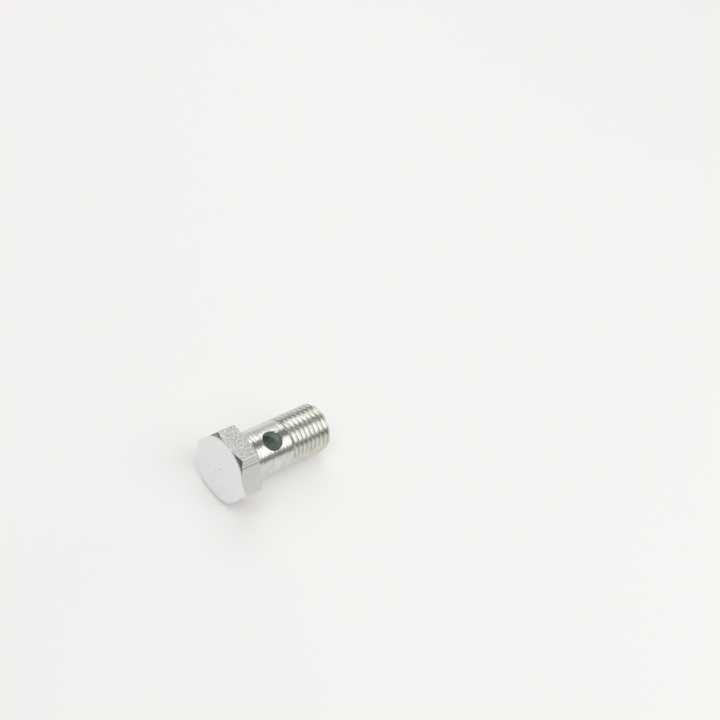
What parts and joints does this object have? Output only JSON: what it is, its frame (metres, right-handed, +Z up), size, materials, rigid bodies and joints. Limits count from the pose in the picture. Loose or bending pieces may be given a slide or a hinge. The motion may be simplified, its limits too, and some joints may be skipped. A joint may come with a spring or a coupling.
{
  "type": "banjo bolt",
  "caption": "Hollow hexagon bolt that clamps a ring-shaped banjo fitting to a port and feeds fluid through its blind axial bore and cross hole.",
  "frame": {"origin": "on the ground under the middle of the box of the lying bolt", "axes": "+Z up from the ground; +X from the head towards the threaded end, which the bolt's own axis follows except that it dips 5.74 degrees towards the ground; +Y to the left of someone who looks along +X"},
  "size_m": [0.0352, 0.022, 0.0196],
  "materials": {
    "zinc_plated_steel": "bright zinc plating over turned and cold headed steel, satin on the end of the head"
  },
  "bodies": {
    "root": {"banjo_bolt": "zinc_plated_steel"}
  },
  "joints": []
}
